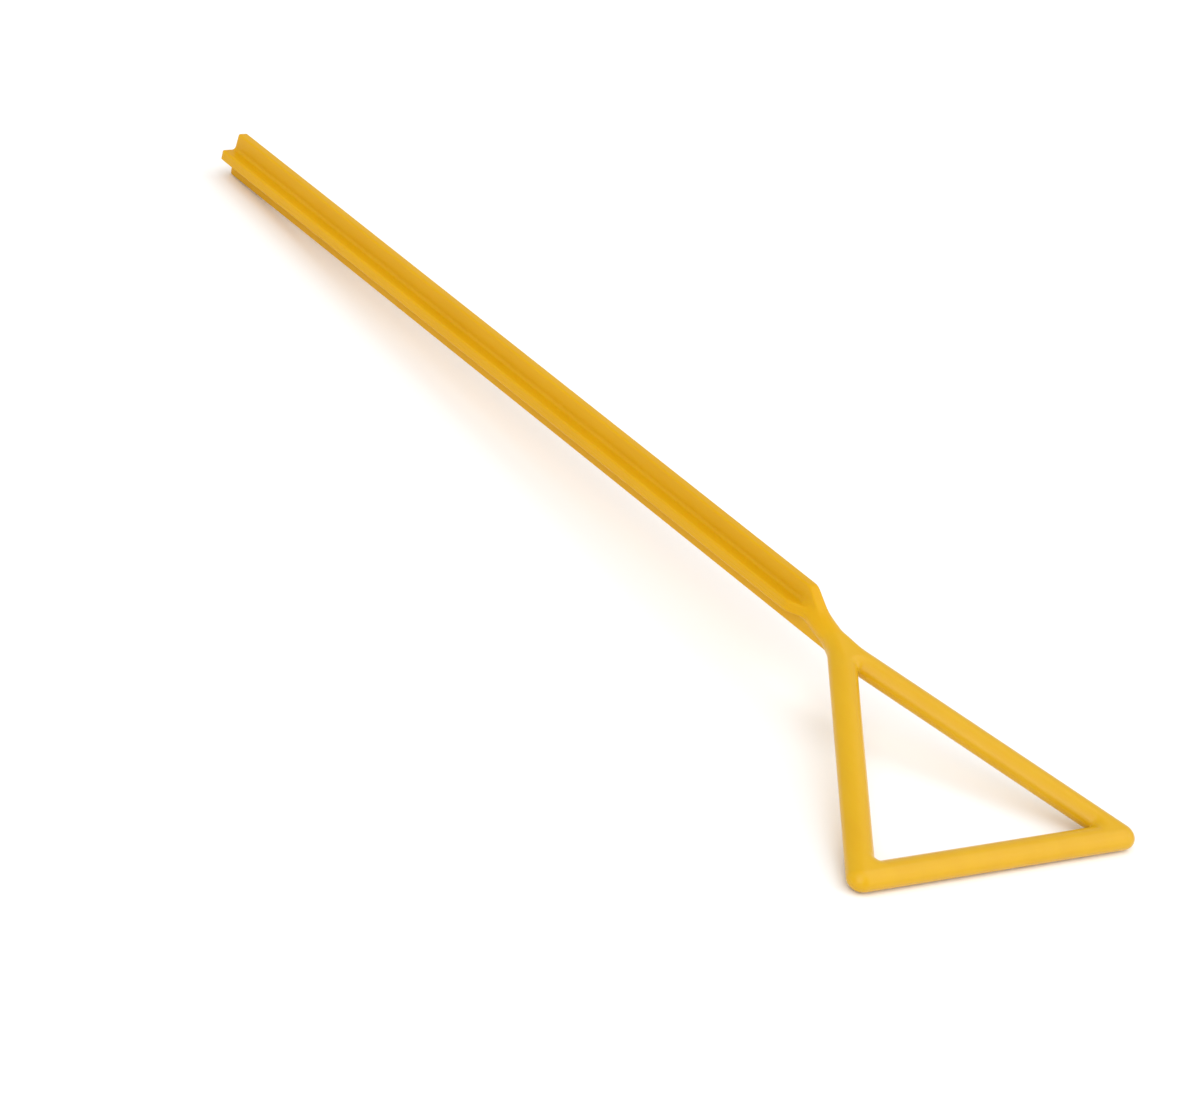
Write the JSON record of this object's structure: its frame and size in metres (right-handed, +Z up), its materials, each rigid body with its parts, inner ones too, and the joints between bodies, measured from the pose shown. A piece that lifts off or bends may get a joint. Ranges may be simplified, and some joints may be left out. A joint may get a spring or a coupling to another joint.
{
  "type": "cell spreader",
  "caption": "Triangular laboratory cell spreader: an equilateral loop of oval rod on a bent neck, with a long straight handle of cross-shaped section, moulded in one piece of yellow plastic.",
  "frame": {"origin": "on the surface it rests on, under the middle of its length and width", "axes": "+Y along the length from the spreading loop to the far end of the handle, +Z up from the surface it rests on, +X across the loop"},
  "size_m": [0.03, 0.1202, 0.0092],
  "materials": {
    "yellow_plastic": "opaque golden yellow, satin as moulded"
  },
  "bodies": {
    "root": {"spreader": "yellow_plastic"}
  },
  "joints": []
}
